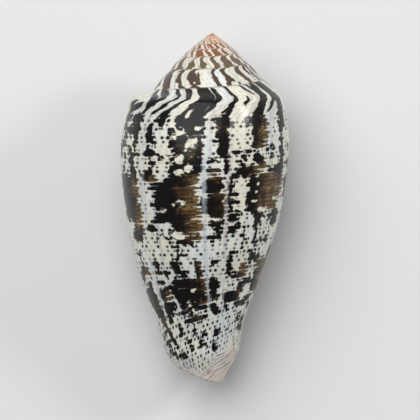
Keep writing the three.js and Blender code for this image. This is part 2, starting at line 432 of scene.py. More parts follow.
# %% The blind end of the mouth, the base of the pillar and the apex
wall_end = inner[BLIND_ROW]
pillar_end = outer[PILLAR_ROW, SEAM:]
wall_step = 1
for step in range(1, len(pillar_end)):
    share = step / (len(pillar_end) - 1)
    ring = [wall_end[wall_step - 1], pillar_end[step - 1], pillar_end[step]]
    add_face(ring, [BLIND_ROW] * 3, [BASE_KNOT] * 3, CHAMBER)
    while wall_step < len(wall_end) and wall_step / (len(wall_end) - 1) <= share:
        ring = [wall_end[wall_step], wall_end[wall_step - 1], pillar_end[step]]
        add_face(ring, [BLIND_ROW] * 3, [BASE_KNOT] * 3, CHAMBER)
        wall_step += 1


def add_fan(loop, lines, knots, middle, inside):
    for k in range(len(loop)):
        after = (k + 1) % len(loop)
        ring = [loop[k], loop[after], middle]
        add_face(ring, [lines[k], lines[k], lines[k]], [knots[k]] * 3, inside)


all_points = np.vstack(points)
base_loop = [inner[BLIND_ROW, LAST]] + [outer[i, LAST] for i in range(PILLAR_ROW, BLIND_ROW + 1)]
base_loop += edge_middles[-1]
base_middle = all_points[base_loop].mean(axis=0)
apex_loop = list(outer[0, :RAMP_COLUMNS]) + [outer[i, 0] for i in range(BACK, 0, -1)]
apex = placed(np.zeros(1), np.array([APEX_TIP]), np.zeros(1))
all_points = np.vstack([all_points, [base_middle], apex])
base_lines, base_knots = [BLIND_ROW] * len(base_loop), [BASE_KNOT] * len(base_loop)
apex_zeros = [0] * len(apex_loop)
add_fan(base_loop, base_lines, base_knots, vertex_count, PILLAR)
add_fan(apex_loop, apex_zeros, apex_zeros, vertex_count + 1, OUTSIDE)
print("faces in all:", len(faces))

# %% [markdown]
# The finished wall is set down as the solid is: over the middle of its footprint, with the
# lowest points worn flat. The frame gives both.

# %% Set it down and make the mesh
SHARP_EDGE = math.radians(60)

low, high = all_points.min(axis=0), all_points.max(axis=0)
middle = (low + high) / 2
resting = all_points - [middle[0], middle[1], low[2] + WEAR_FLAT]
resting[:, 2] = np.maximum(resting[:, 2], 0)
frame_middle = (LOWEST + HIGHEST) / 2
resting = resting / 1000 + [frame_middle[0], frame_middle[1], LOWEST[2]]

shell_mesh = bpy.data.meshes.new("shell_wall")
shell_mesh.from_pydata(resting.tolist(), [], faces)
shell_mesh.validate()
shell_mesh.shade_smooth()
shell_mesh.set_sharp_from_angle(angle=SHARP_EDGE)
shell_wall = bpy.data.objects.new("shell_wall", shell_mesh)
bpy.context.scene.collection.objects.link(shell_wall)
print("mesh:", len(shell_mesh.vertices), "vertices,", len(shell_mesh.polygons), "faces,",
      sum(len(p.vertices) - 2 for p in shell_mesh.polygons), "triangles")

# %% [markdown]
# ## Coordinates for the markings
# The snail's pigment follows two families of lines: growth lines, which lean as the lip did,
# and fine spiral rows along the wall. Both are worked out here for every face corner. The
# first is an angle from the middle of the back, which grows backwards along the coil; the
# second counts rows from the shoulder down.

# %% Numbers at the face corners
MM_PER_DEGREE = 0.25
RAMP_STEP = 1.5
FLAME_BEND = 8.5
SPIRE_BEND = 22.0
SPIRE_KINK = 0.7
KINK_BEND = 12.0
ROW_PITCH, BASE_PITCH = 0.72, 0.8
PITCH_CHANGE = (34, 50)
ROW_RISE, BASE_RISE = 0.9, 5.0
RISE_CHANGE = (38, 54)
SPIRE_LINES = (-0.85, -1.0)
BEND_START, BEND_TOP, BEND_END = 0.5, 3, 4.2
ROW_RANGE, ROW_SAMPLES = (-20, 100), 1201

line_row = np.array(corner_lines, float)
line_knot = np.array(corner_knots, float)
line_inside = np.array(corner_insides, float)
back_angle = LIP_AZIMUTH - 360 * (line_row - ROWS) / STEPS_PER_TURN
true_turn = (line_row - ROWS) / STEPS_PER_TURN + (lead_at(line_knot) - BODY_LEAD) / 360
true_angle = LIP_AZIMUTH - 360 * true_turn

whorl_size = growth(np.minimum(true_turn, 0))
on_spire = smooth_ramp(*SPIRE_LINES, true_turn)
last_bend = smooth_ramp(BEND_START, BEND_TOP, line_knot)
last_bend *= 1 - smooth_ramp(BEND_TOP, BEND_END, line_knot)
spire_bend = SPIRE_BEND * ramp(SPIRE_KINK, JOIN_KNOT, line_knot) ** 1.3
spire_bend += KINK_BEND * (1 - ramp(0, SPIRE_KINK, line_knot)) ** 2
flame_angle = back_angle - mix(FLAME_BEND * last_bend, spire_bend, on_spire)

height, _ = wall_point(true_turn, np.maximum(line_knot, JOIN_KNOT))
down = height - (JOIN_KNOT - np.minimum(line_knot, JOIN_KNOT)) * RAMP_STEP * whorl_size

lower = smooth_ramp(*RISE_CHANGE, down)
row_height = down + mix(ROW_RISE, BASE_RISE, lower) * true_angle / 90
row_steps = np.linspace(*ROW_RANGE, ROW_SAMPLES)
row_pitch = mix(ROW_PITCH, BASE_PITCH, smooth_ramp(*PITCH_CHANGE, row_steps))
row_count = np.cumsum((row_steps[1] - row_steps[0]) / row_pitch)
row_number = np.interp(row_height, row_steps, row_count)
edge_distance = base_height(true_turn) - height


def add_corner_vector(name, *values):
    layer = shell_mesh.attributes.new(name, "FLOAT_VECTOR", "CORNER")
    layer.data.foreach_set("vector", np.stack(values, axis=-1).astype(np.float32).ravel())


print("corners:", len(shell_mesh.loops), "numbers:", len(line_row))
add_corner_vector("place", flame_angle * MM_PER_DEGREE, down, row_number)
add_corner_vector("form", line_knot, back_angle, line_inside)
add_corner_vector("edge", edge_distance, whorl_size, true_angle)

# %% [markdown]
# ## Shader maths as plain expressions
# A material is a network of nodes. Wiring them one by one hides what they work out, so a
# socket is wrapped in a small class: sums, products and comparisons of wrapped sockets add
# the Math nodes. Vectors and colours have methods of their own.

# %% A socket that can be used in sums
class Signal:
    def __init__(self, finish, socket):
        self.finish = finish
        self.socket = socket

    def math(self, operation, *others):
        return self.finish.node("ShaderNodeMath", {"operation": operation}, self, *others)

    def __add__(self, other):
        return self.math("ADD", other)

    def __sub__(self, other):
        return self.math("SUBTRACT", other)

    def __rsub__(self, other):
        return self.finish.node("ShaderNodeMath", {"operation": "SUBTRACT"}, other, self)

    def __mul__(self, other):
        return self.math("MULTIPLY", other)

    def __truediv__(self, other):
        return self.math("DIVIDE", other)

    def __pow__(self, other):
        return self.math("POWER", other)

    def __abs__(self):
        return self.math("ABSOLUTE")

    __radd__ = __add__
    __rmul__ = __mul__

    def least(self, other):
        return self.math("MINIMUM", other)

    def most(self, other):
        return self.math("MAXIMUM", other)

    def whole(self):
        return self.math("FLOOR")

    def part(self):
        return self.math("FRACT")

    def clamped(self):
        return self.finish.node("ShaderNodeClamp", {}, self, 0.0, 1.0)

    def between(self, start, end):
        """0 at start, 1 at end, and smooth on the way."""
        settings = {"interpolation_type": "SMOOTHSTEP", "clamp": False}
        if start < end:
            return self.finish.node("ShaderNodeMapRange", settings, self, start, end)
        return 1 - self.finish.node("ShaderNodeMapRange", settings, self, end, start)

    def within(self, low, high, blend):
        """1 from low to high, and 0 outside, with smooth ends inside the range."""
        return self.between(low, low + blend) * self.between(high, high - blend)


# %% A network of nodes, and a material made of one
class Network:
    def __init__(self, tree):
        self.tree = tree

    def node(self, kind, settings, *inputs, output=0, **named):
        node = self.tree.nodes.new(kind)
        for name, value in settings.items():
            setattr(node, name, value)
        places = [*enumerate(inputs), *((k.replace("_", " "), v) for k, v in named.items())]
        for place, value in places:
            if isinstance(value, Signal):
                self.tree.links.new(value.socket, node.inputs[place])
            elif value is not None:
                node.inputs[place].default_value = value
        return Signal(self, node.outputs[output]) if node.outputs else None

    def vector(self, operation, *inputs, output=0):
        return self.node("ShaderNodeVectorMath", {"operation": operation}, *inputs, output=output)

    def point(self, x, y, z=0.0):
        return self.node("ShaderNodeCombineXYZ", {}, x, y, z)

    def split(self, vector):
        return [self.node("ShaderNodeSeparateXYZ", {}, vector, output=k) for k in range(3)]

    def colour(self, share, low, high):
        """A colour between two others."""
        return self.node(
            "ShaderNodeMix", {"data_type": "RGBA"}, share, None, None, None, None, None,
            rgba(low), rgba(high), output=2,
        )

    def noise(self, across, down, detail, scale=1.0):
        place, settings = self.point(across, down), {"noise_dimensions": "2D"}
        return self.node("ShaderNodeTexNoise", settings, place, Scale=scale, Detail=detail)

    def speckle(self, across, down):
        place, settings = self.point(across, down), {"noise_dimensions": "2D"}
        return self.node("ShaderNodeTexWhiteNoise", settings, place)

    def attribute(self, name):
        settings = {"attribute_type": "GEOMETRY", "attribute_name": name}
        return self.node("ShaderNodeAttribute", settings, output=1)

    def count(self, step):
        print("nodes after", step + ":", len(self.tree.nodes))


class Finish(Network):
    def __init__(self, name):
        self.material = bpy.data.materials.new(name)
        self.material.use_nodes = True
        super().__init__(self.material.node_tree)
        self.shader = self.tree.nodes["Principled BSDF"]

    def set(self, **sockets):
        for name, value in sockets.items():
            socket = self.shader.inputs[name.replace("_", " ")]
            if isinstance(value, Signal):
                self.tree.links.new(value.socket, socket)
            else:
                socket.default_value = value


def rgba(colour):
    return colour if isinstance(colour, Signal) else (*colour, 1.0)


# %% [markdown]
# ## The large markings
# The pigment was laid down at the lip, so a blotch has a dark front and fades to brown on
# the side that grew earlier. Each large marking is a stroke: from a place, to a place, with
# a half-width at both ends. Places are degrees from the middle of the back and millimetres
# down from the apex; widths are millimetres. Strokes were chosen one by one.

# %% Flames on the ramp, from the suture to the shoulder
BLACK_FLAMES = [
    (-80, 8, -72.5, 9.5, 0.45, 0.45), (-72.5, 9.5, -66, 10.5, 0.45, 0.5),
    (-66, 10.5, -61.5, 11.6, 0.5, 0.65), (-61.5, 11.8, -61, 13, 0.6, 0.5),
    (-68, 7.7, -61, 9, 0.65, 0.8), (-61, 9, -57.5, 11.6, 0.75, 0.5),
    (-83, 13, -72, 12.1, 0.7, 0.55), (-86, 14.4, -74, 14.1, 0.6, 0.3),
    (-88, 12, -83, 11.6, 0.6, 0.4),
    (-48.5, 8, -47, 9, 0.5, 0.42), (-47, 9, -46.5, 10.6, 0.4, 0.25),
    (-46.5, 10.6, -46.5, 11.7, 0.25, 0.3), (-46.5, 11.7, -50, 13, 0.3, 0.35),
    (-37, 8.2, -37.3, 9.4, 0.75, 0.5), (-37.3, 9.4, -37.5, 11.2, 0.45, 0.3),
    (-37, 11.4, -39.5, 12.8, 0.35, 0.45), (-39.5, 13.2, -39.5, 14.6, 0.75, 0.6),
    (-22, 8.3, -22.5, 9.6, 1.4, 1.45), (-22.5, 9.6, -20.5, 11.6, 1.4, 1.5),
    (-20.5, 11.6, -19, 13.2, 1.6, 1.7), (-24, 12.9, -22, 14.4, 0.9, 1),
    (-15, 13.8, -13, 14.8, 1.2, 1.1),
    (-12, 8.4, -13, 9.6, 0.5, 0.5), (-13, 9.6, -11.5, 11.4, 0.55, 0.55),
    (-10, 11.8, -10, 13.4, 0.4, 0.45),
    (2, 8, 1.2, 9.4, 0.35, 0.35), (1.2, 9.4, 3.5, 11.6, 0.3, 0.45),
    (5, 12, 8.5, 13.6, 0.35, 0.35), (2.5, 12.3, 3, 12.8, 0.2, 0.3),
    (13, 9.8, 13, 10.8, 0.15, 0.2), (13, 10.8, 15, 11.5, 0.2, 0.2),
    (20, 8.2, 21.5, 9, 0.25, 0.3), (28, 8.2, 28, 8.5, 0.3, 0.2),
    (38, 8.2, 32.5, 9, 0.4, 0.8), (31.5, 9.4, 31, 11, 1, 1.1),
    (31, 11, 32, 12.8, 1.05, 1), (32, 12.8, 34, 14.2, 1, 1.2),
    (50, 8.7, 49, 9.6, 1.8, 1.6), (46, 10, 44.5, 11.3, 0.85, 0.6),
    (44.5, 11.3, 43, 12.7, 0.5, 0.3), (54, 10.2, 57, 11.8, 1.1, 0.9),
    (62, 13.4, 64, 14.8, 1.1, 1.3), (74, 8.3, 82, 8.8, 0.9, 0.9),
]

# %% Blotches of the body
BLACK_BLOTCHES = [
    # just below the shoulder, from the left
    (-66, 14.4, -60, 14.6, 0.8, 0.8), (-74, 16.4, -62, 16.2, 0.5, 0.85),
    (-84, 15.6, -80, 16, 0.9, 0.6), (-88, 19.5, -84, 20.5, 0.8, 0.8),
    (-59.5, 15.8, -59.5, 17.8, 0.65, 0.5), (-60.5, 18.4, -60, 19.2, 0.4, 0.35),
    (-79, 17.3, -75, 17.6, 0.35, 0.25), (-80, 18.9, -76, 18.8, 0.55, 0.4),
    (-68, 19.7, -64, 20.6, 0.3, 0.4), (-64, 20.7, -57, 20.2, 0.35, 0.15),
    (-77, 21.2, -74, 20.6, 0.2, 0.2), (-77, 22.6, -77, 23.2, 0.3, 0.3),
    (-64, 21, -63, 23.8, 0.5, 0.75),
    (-38.5, 14.2, -37.5, 15.2, 0.85, 0.35), (-47.6, 15.8, -47, 17.8, 0.6, 0.65),
    (-44, 18.1, -41.5, 18.4, 0.25, 0.2), (-48, 19.8, -42, 19.9, 0.5, 0.35),
    (-48.5, 20.5, -46, 20.6, 0.35, 0.3), (-43.5, 21.6, -41, 21.8, 0.35, 0.3),
    (-50, 24, -45, 23.3, 0.7, 0.5), (-38, 20.7, -37, 20.7, 0.2, 0.2),
    (-23.5, 14.5, -10, 14.8, 0.9, 0.8), (-30.5, 16.4, -28.5, 16.8, 0.35, 0.3),
    (-27.5, 18.2, -20, 17.7, 0.45, 0.75), (-23.5, 19.4, -17, 19.7, 0.65, 0.8),
    (-18.5, 16.3, -9, 16, 0.5, 0.5), (-9.8, 17.4, -9.3, 21.5, 0.4, 0.5),
    (-28.5, 20.8, -26, 20.8, 0.35, 0.3), (-18, 20.8, -14, 21.4, 0.55, 0.6),
    (-14.5, 21.8, -11, 22.8, 0.35, 0.4), (-26.5, 22.3, -19, 21.9, 0.5, 0.45),
    (-28, 23.4, -25.5, 23.1, 0.4, 0.4), (-18.5, 23.3, -11, 23.1, 0.3, 0.45),
    (-9.5, 22.2, -6, 22.6, 0.5, 0.35),
    (4.5, 14.3, 8, 14.6, 0.9, 1), (7.5, 16.2, 8.2, 19.5, 0.8, 0.9),
    (2, 17.9, 4, 17.9, 0.15, 0.25), (0, 21, 3, 21, 0.3, 0.15),
    (0, 22.7, 3, 22.8, 0.3, 0.2), (10, 20.8, 9.3, 22.8, 0.3, 0.3),
    (16.8, 19.8, 18.5, 19.8, 0.25, 0.2), (25.5, 19.7, 27.5, 19.7, 0.25, 0.15),
    (21.5, 20.4, 25, 20.5, 0.25, 0.2), (25, 14.6, 30, 14.5, 0.4, 0.5),
    (32.8, 14.6, 33, 18.2, 0.8, 0.6), (30.5, 18.8, 36, 18.8, 0.2, 0.3),
    (33, 20.7, 37, 20.9, 0.6, 0.6), (43.5, 19.6, 44.5, 19.5, 0.3, 0.2),
    (47.5, 18.75, 50, 18.75, 0.2, 0.2), (47.5, 20.4, 50, 20.4, 0.2, 0.2),
    (62, 14.8, 62, 16.2, 1, 0.7), (60, 17.6, 61, 20.5, 0.5, 0.8),
    (61.5, 21.4, 61.5, 23.4, 0.8, 0.9), (45.5, 22.9, 56, 22.9, 0.2, 0.55),
    (15.5, 23.8, 20, 23.4, 0.35, 0.5), (20, 23.2, 29, 22.9, 0.6, 0.65),
    (18.5, 21.4, 23, 22.2, 0.15, 0.3), (72, 19.4, 74, 19.4, 0.3, 0.3),
    (72, 22, 80, 22.2, 0.3, 0.6),
    # the broad band of large blotches
    (-80, 25.6, -72, 25.6, 1.5, 1.4), (-80, 28.4, -70, 28.6, 1.6, 1.7),
    (-80, 30.8, -70, 30.8, 1.2, 1.1), (-68, 34.6, -63, 34.6, 0.8, 0.8),
    (-30, 24.8, -22, 24.6, 1, 1.1), (-44, 26, -30, 26.2, 0.45, 1),
    (-38, 27.6, -26, 27.4, 1.1, 1.3), (-44, 29, -30, 29.4, 0.5, 1.2),
    (-36, 30.8, -24, 31, 0.8, 1.1), (-46, 31.8, -38, 31.2, 0.3, 0.6),
    (-27, 32.2, -21, 32.6, 0.9, 0.9), (-30.5, 33.8, -26, 34.9, 0.35, 0.4),
    (-26, 35.1, -15, 35.2, 0.45, 0.4), (-49, 33.2, -46.5, 33.2, 0.7, 0.6),
    (-2.5, 25.4, 3, 25.4, 1.1, 1.2), (-3, 28.8, 3, 28.2, 1.2, 1.3),
    (-2, 30.2, 6, 30, 0.4, 0.9), (5, 31.8, 5, 33.6, 0.75, 0.7),
    (-4, 34.5, 4, 34.3, 0.25, 0.35), (0, 31.9, 3, 31.9, 0.3, 0.3),
    (12.8, 24.4, 12.8, 29.6, 0.25, 0.25), (14, 26.9, 18, 26.9, 0.25, 0.15),
    (14, 28.2, 19.3, 28.3, 0.3, 0.2), (14.5, 30.9, 18, 30.9, 0.55, 0.6),
    (20, 30.1, 22.5, 30.1, 0.2, 0.15), (14, 33.2, 20, 32.3, 0.5, 0.5),
    (31.5, 25, 35, 25, 1.15, 1.1), (30.8, 27.4, 35, 27.2, 1.2, 1.1),
    (31.5, 29, 34, 28.8, 1.1, 0.95), (32, 30, 38, 30.2, 0.5, 0.5),
    (37, 31.2, 38, 32.4, 0.75, 0.55), (38, 31, 45, 30.6, 0.4, 0.15),
    (38, 33.2, 38.5, 36, 0.28, 0.12), (26.3, 32.8, 26.3, 36, 0.2, 0.1),
    (51.5, 31.3, 56, 30.8, 0.2, 0.3), (59, 30.2, 62, 30.6, 0.8, 0.8),
    (60, 32, 65, 31.8, 0.8, 0.5), (51, 34.6, 53, 34.6, 0.3, 0.25),
    (74, 25.4, 80, 25.4, 0.8, 1.3), (76, 27.4, 80, 27.2, 0.5, 0.9),
    # the lower band
    (-80, 42.6, -69, 40.2, 0.4, 0.5), (-80, 45.6, -70, 45.4, 1.5, 1.5),
    (-70, 44, -67, 43, 0.8, 0.5), (-73, 47.8, -66, 48, 1.1, 0.9),
    (-62, 50.6, -56, 52.4, 0.5, 0.4), (-55, 52.8, -48, 53.8, 0.35, 0.3),
    (-78, 52.6, -68, 51.8, 0.3, 0.2), (-72, 53.6, -62, 53.6, 0.3, 0.3),
    (-66, 54.6, -56, 55.2, 0.25, 0.3), (-50.5, 39.2, -49, 40.4, 0.55, 0.5),
    (-52, 42.4, -48, 42.5, 0.4, 0.3), (-54, 44.3, -46, 43.9, 0.35, 0.3),
    (-46, 43.5, -37, 43.3, 0.35, 0.55), (-53.5, 45.2, -52.5, 49, 0.65, 0.7),
    (-50, 46.7, -41, 46.6, 0.4, 0.3), (-50, 47.6, -47, 47.6, 0.35, 0.3),
    (-41.5, 40.6, -41.5, 41.4, 0.3, 0.25), (-33, 39.2, -31, 40.2, 0.6, 0.6),
    (-28.5, 36.4, -28.5, 38.8, 0.2, 0.3), (-29, 40.9, -25, 40.9, 0.5, 0.4),
    (-33, 42.4, -12, 42.6, 0.75, 0.8), (-34.5, 44.6, -12, 44.6, 1.15, 1.2),
    (-33, 46.4, -8, 46.6, 0.45, 0.45), (-14, 39.2, -13, 41, 0.55, 0.6),
    (-33.5, 47.8, -20, 47.8, 0.3, 0.3), (-31, 49, -18, 48.8, 0.25, 0.4),
    (-16, 48.7, -9, 48.4, 0.3, 0.3), (-40.5, 50.4, -40.5, 51.6, 0.4, 0.4),
    (-34.5, 52.6, -33, 52.6, 0.35, 0.3), (-25, 50.8, -22, 50.8, 0.25, 0.2),
    (-30, 53.6, -27, 53.8, 0.3, 0.3), (-44.5, 55.5, -39, 55.4, 0.4, 0.3),
    (-16, 52.7, -8, 53.2, 0.3, 0.35), (-12, 51.6, -10, 51.4, 0.35, 0.3),
    (1, 38.6, 4, 38.4, 0.55, 0.3), (1.5, 42, 2, 44.6, 0.8, 0.8),
    (1, 46.6, 6, 47.2, 0.5, 0.7), (15.5, 37.3, 17, 37.9, 0.45, 0.45),
    (15.3, 38.2, 15.8, 40.6, 0.45, 0.45), (19, 41.2, 29, 41, 0.4, 0.6),
    (36, 37, 40, 37.6, 0.35, 0.5), (38, 38.4, 49, 38, 0.55, 0.45),
    (52, 40.8, 58, 40.8, 0.5, 0.5),
    (54, 42.6, 62, 42.6, 1.1, 0.9), (68, 36.8, 76, 38.2, 0.6, 0.9),
    (31.5, 42.8, 34, 43.4, 0.6, 0.6), (33, 42.3, 50, 42.2, 0.4, 0.45),
    (15, 44.8, 27, 44.7, 0.7, 0.8), (31, 46.1, 46, 45.7, 0.25, 0.35),
    (46, 45.4, 56, 45, 0.4, 0.3), (15.5, 46.4, 17.5, 47.2, 0.35, 0.3),
    (57, 46.6, 61, 46.3, 0.35, 0.3), (50, 48.8, 57, 49.2, 0.4, 0.4),
    (47, 50.2, 60, 50.6, 0.4, 0.45), (39, 48.4, 42, 49, 0.3, 0.3),
    (5, 51, 9, 51, 0.35, 0.3), (2, 53.4, 8, 53.8, 0.4, 0.45),
]
BROWN_BLOTCHES = [
    (-66, 25.2, -61.5, 25, 1.1, 0.6), (-68, 27.2, -60.5, 27.2, 1.2, 0.6),
    (-67, 29.4, -60.5, 29.6, 1.3, 0.7), (-66, 31.4, -61, 31.2, 1.1, 0.8),
    (-65, 33.4, -61.5, 33.4, 1, 0.8), (-46.5, 24.4, -43, 24.5, 0.5, 0.35),
    (-21, 19, -19, 18.2, 0.5, 0.4), (-15.5, 19.6, -10, 19.8, 0.7, 0.7),
    (-12, 17.2, -10.5, 18.6, 0.3, 0.5), (-20, 24.4, -13, 24.3, 0.9, 0.6),
    (-21, 26.6, -15, 26.4, 1.2, 0.8), (-21, 28.2, -14, 28, 1.1, 0.8),
    (-20, 30.2, -12.5, 30, 1.3, 0.8), (-18, 32.6, -11.5, 32.4, 1.1, 0.7),
    (-17, 34.4, -11, 34.2, 0.6, 0.4), (1.5, 23.8, 4, 24.2, 0.4, 0.4),
    (5.5, 27, 6.2, 30, 0.6, 0.8), (6, 15.4, 8, 15.6, 0.3, 0.3),
    (38, 15, 42, 15, 1, 0.5), (38, 16.8, 41.5, 16.8, 0.9, 0.5),
    (36, 18.3, 41, 18.2, 0.6, 0.3), (37, 21.6, 40, 21.8, 0.5, 0.4),
    (30, 22.8, 34.5, 23, 0.6, 0.5), (38, 25, 62, 24.8, 1.15, 0.9),
    (38, 27, 62, 27, 1.1, 0.9), (37, 28.7, 58, 28.6, 1, 0.7),
    (-66, 40.8, -63, 40.6, 0.5, 0.4), (-67, 46.2, -64.5, 46, 0.9, 0.5),
    (-66, 49.2, -62, 50.4, 0.9, 0.6), (-50, 45.1, -43, 45.1, 0.25, 0.15),
    (-15, 42.6, -7, 42.8, 0.7, 0.8), (-12, 44.8, -6.5, 45, 0.9, 0.8),
    (-24, 48, -15, 48.1, 0.4, 0.3), (-13, 39.2, -12, 41, 0.5, 0.5),
    (29, 40.8, 34, 40.5, 0.5, 0.4), (30, 39.6, 35, 39.8, 0.4, 0.3),
    (50, 39.2, 76, 39.2, 0.5, 1), (58, 40.6, 76, 40.6, 0.9, 1),
    (62, 43, 78, 43.4, 1, 1.2), (31, 44.2, 35, 43.9, 0.5, 0.3),
    (28, 44.8, 32, 44.6, 0.45, 0.3),
]
WHITE_SPOTS = [
    (34.4, 24, 34.7, 24, 0.12, 0.12), (34.3, 25.3, 34.8, 25.3, 0.2, 0.2),
    (34, 26.7, 34.6, 26.7, 0.18, 0.18), (33.8, 28.1, 34.2, 28.1, 0.17, 0.17),
    (-38.2, 29.9, -36.3, 29.9, 0.25, 0.25), (-27, 28.6, -22, 28.4, 0.02, 0.12),
    (-22, 28.3, -20.5, 28.3, 0.2, 0.3), (-27.5, 34.2, -21.5, 34.3, 0.5, 0.35),
    (-27, 16.9, -19, 16.1, 0.3, 0.35), (-16.5, 18.8, -12.5, 17.7, 0.5, 0.45),
    (-24, 20.9, -20.5, 20.8, 0.45, 0.45), (-23.5, 23.3, -20.5, 23.3, 0.4, 0.4),
    (-17.5, 22.3, -13.5, 22.3, 0.35, 0.25), (-11.5, 15.4, -9, 15.4, 0.22, 0.22),
    (-18.5, 43.7, -17, 43.7, 0.2, 0.2), (-27, 46.1, -23.5, 46.1, 0.22, 0.22),
    (40.5, 29.8, 45, 29.7, 0.35, 0.3), (-22.5, 12.7, -21, 13.4, 0.3, 0.45),
    (1.5, 31, 4.5, 31, 0.22, 0.22), (-22, 47.4, -17, 47.5, 0.2, 0.3),
    (37, 44.6, 46, 44, 0.3, 0.4), (54, 28.1, 61, 27.9, 0.05, 0.2),
]
# Pauses in growth, which left low ridges of plain shell; the cool ones carry a painted highlight
SHEEN_RIDGES = [
    (-51, 14, -52, 24, 0.3, 0.28), (-52, 24, -55, 36, 0.28, 0.25),
    (-55, 36, -59, 50, 0.25, 0.3), (-5.5, 21, -5.5, 36, 0.34, 0.3),
    (-5.5, 36, -3, 49, 0.28, 0.2), (10.5, 36, 13, 48, 0.25, 0.2),
]
PINK_RIDGES = [
    (13.5, 13, 13, 22, 0.3, 0.25), (13, 22, 10.5, 26, 0.2, 0.3),
    (10.5, 26, 10.5, 36, 0.3, 0.25),
]
print(len(BLACK_FLAMES) + len(BLACK_BLOTCHES), "dark strokes,",
      len(BROWN_BLOTCHES), "brown,", len(WHITE_SPOTS), "white")

# %% [markdown]
# A stroke needs the same few sums each time, so they are made once, as a group of nodes. The
# group also keeps the nearest distance so far, so that a list of strokes is a plain chain.

# %% The sums of one stroke
STROKE_INPUTS = {
    "place": "Vector", "start": "Vector", "along": "Vector", "scaled": "Vector",
    "width": "Float", "widening": "Float", "nearest": "Float",
}
FAR_AWAY = 99.0


def stroke_group():
    tree = bpy.data.node_groups.new("stroke", "ShaderNodeTree")
    for name, kind in STROKE_INPUTS.items():
        tree.interface.new_socket(name, in_out="INPUT", socket_type="NodeSocket" + kind)
    tree.interface.new_socket("distance", in_out="OUTPUT", socket_type="NodeSocketFloat")
    group = Network(tree)
    place, start, along, scaled, width, widening, nearest = (
        group.node("NodeGroupInput", {}, output=k) for k in range(len(STROKE_INPUTS))
    )
    from_start = group.vector("SUBTRACT", place, start)
    share = group.vector("DOT_PRODUCT", from_start, scaled, output=1).clamped()
    foot = group.vector("MULTIPLY", group.point(share, share, share), along)
    gap = group.vector("DISTANCE", from_start, foot, output=1) - share * widening - width
    group.node("NodeGroupOutput", {}, gap.least(nearest))
    return tree


STROKE = stroke_group()


def distance_to(finish, place, strokes):
    """How far a place lies outside the nearest stroke, in millimetres; negative inside."""
    nearest = FAR_AWAY
    for start_angle, start_down, end_angle, end_down, start_width, end_width in strokes:
        start = Vector((start_angle * MM_PER_DEGREE, start_down, 0))
        along = Vector((end_angle * MM_PER_DEGREE, end_down, 0)) - start
        scaled = along / along.length_squared
        widening = end_width - start_width
        nearest = finish.node(
            "ShaderNodeGroup", {"node_tree": STROKE},
            place, start, along, scaled, start_width, widening, nearest,
        )
    return nearest


# %% [markdown]
# ## The finish of the shell
# Porcelain-like shell takes its colour from pigment in the top layer, under a natural gloss.
# A picture could be wrapped round it, but it would stretch over the coil. So the pattern is
# worked out from the numbers at the corners. Colours are linear, from 0 to 1.

# %% Colours
CREAM = (0.78, 0.76, 0.63)
COOL_WHITE = (0.73, 0.77, 0.77)
BLUE_GREY = (0.36, 0.41, 0.46)
# painted highlight: the blue-grey laid on the cool growth ridges
RIDGE_SHEEN_BLUE = (0.50, 0.55, 0.60)
PINK_GREY = (0.50, 0.43, 0.42)
PINK_CREAM = (0.73, 0.63, 0.53)
BASE_GREY = (0.22, 0.22, 0.25)
HALO_GREY = (0.33, 0.33, 0.31)
BLACK = (0.006, 0.0045, 0.004)
DARK_BROWN = (0.014, 0.008, 0.005)
BROWN = (0.070, 0.036, 0.014)
GOLDEN = (0.205, 0.122, 0.044)
UMBER = (0.090, 0.060, 0.042)
TAUPE = (0.150, 0.105, 0.070)
RUST = (0.25, 0.105, 0.050)
APRICOT = (0.50, 0.26, 0.12)
PORCELAIN = (0.82, 0.80, 0.75)

finish = Finish("glossy_shell")
along, down_mm, row_place = finish.split(finish.attribute("place"))
knot_place, line_angle, inside = finish.split(finish.attribute("form"))
to_edge, size, angle = finish.split(finish.attribute("edge"))
print("numbers at the corners, as sockets: 9")

# %% [markdown]
# The edges of real blotches step a little from one spiral row to the next. Strokes alone
# would be smooth, so each row is shifted by its own amount, and the strokes are read partly
# at the middle of the row. Noise makes the edges wander. The ramp has no rows, and its
# flames are smoother.

# %% Rows, and edges that step with them
BODY_KNOTS = (3.6, 4.1)
ROW_SHIFT = 0.9
PAIR_SHIFT = 1.0
ROW_HOLD = 0.35
WANDER = 0.9
WANDER_SCALE = 0.9
WANDER_DETAIL = 3.5

row_index = row_place.whole()
row_part = row_place.part()
from_middle = abs(row_part - 0.5) * 2
odd_row = (row_index / 2).part().between(0.2, 0.3)
on_body = knot_place.between(*BODY_KNOTS)
pitch = ROW_PITCH - down_mm.between(*PITCH_CHANGE) * (ROW_PITCH - BASE_PITCH)
pair_index = (row_place / 2).whole()
row_shift = finish.noise(along * 0.35, row_index * 3.7, 1.0) - 0.5
pair_shift = finish.noise(along * 0.30 + 9.0, pair_index * 5.3, 1.0) - 0.5
wander_across = finish.noise(along, down_mm, WANDER_DETAIL, WANDER_SCALE) - 0.5
wander_down = finish.noise(along + 40.0, down_mm, WANDER_DETAIL, WANDER_SCALE) - 0.5
stepped = along + (row_shift * ROW_SHIFT + pair_shift * PAIR_SHIFT) * on_body
stepped = stepped + wander_across * (on_body * 1.3 + WANDER)
row_middle = down_mm + (row_index + 0.5 - row_place) * pitch * on_body * ROW_HOLD
place = finish.point(stepped, row_middle + wander_down * (on_body + WANDER))
tooth = ((from_middle ** 2) * 0.22 - odd_row * 0.08 - 0.12) * on_body
brown_tooth = (from_middle ** 2) * 0.75 - odd_row * 0.2 - 0.45
finish.count("rows")

# %% Dark, brown and white marks, and the ridges
BLACK_SPREAD = 0.14
BROWN_SPREAD = 0.05
RIDGE_WANDER = 0.7

